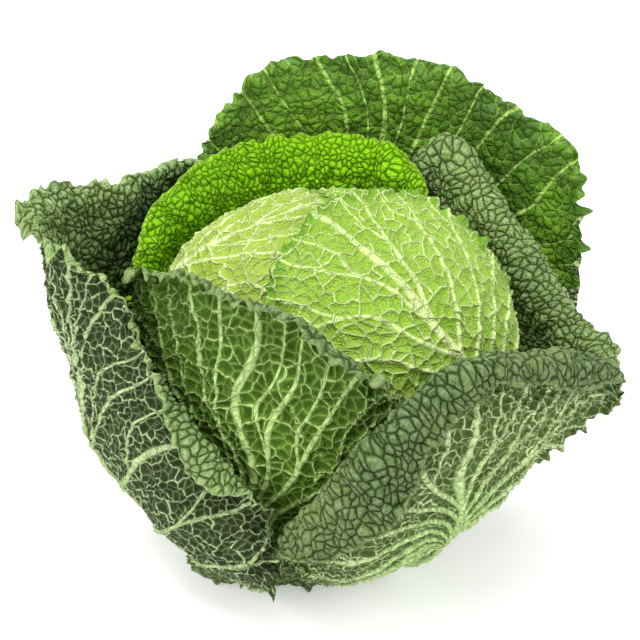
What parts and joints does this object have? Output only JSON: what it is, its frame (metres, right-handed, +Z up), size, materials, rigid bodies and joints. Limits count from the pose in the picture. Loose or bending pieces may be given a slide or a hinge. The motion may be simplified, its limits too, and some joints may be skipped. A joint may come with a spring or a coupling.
{
  "type": "savoy cabbage",
  "caption": "Savoy cabbage with crinkled wrapper leaves cupped open around a tight round head, standing on its cut stump.",
  "frame": {"origin": "centre of the stump's flat cut face, on the surface the cabbage stands on", "axes": "+Z up through the stump and the middle of the head; +X towards the tip of the right-hand wrapper leaf, along the cabbage's widest extent; +Y towards the tallest wrapper leaf, at the back"},
  "size_m": [0.287, 0.2446, 0.2087],
  "materials": {
    "wrapper_leaf": "waxy satin, dark blue-green above and pale grey-green with raised veins below",
    "inner_leaf": "waxy satin, dark green above and pale green with raised veins below",
    "bright_leaf": "satin, bright green and blistered",
    "head_leaf": "satin, pale yellow-green with raised cream veins",
    "heart": "satin, pale yellow-green",
    "stump": "matt, cut flesh"
  },
  "bodies": {
    "root": {"head_leaf_back": "head_leaf", "head_leaf_right": "head_leaf", "head_leaf_left": "head_leaf", "head_leaf_front": "head_leaf", "inner_leaf_back": "bright_leaf", "inner_leaf_right": "inner_leaf", "inner_leaf_front": "inner_leaf", "wrapper_leaf_back": "wrapper_leaf", "wrapper_leaf_right": "wrapper_leaf", "wrapper_leaf_left": "wrapper_leaf", "heart": "heart", "stump": "stump"}
  },
  "joints": []
}
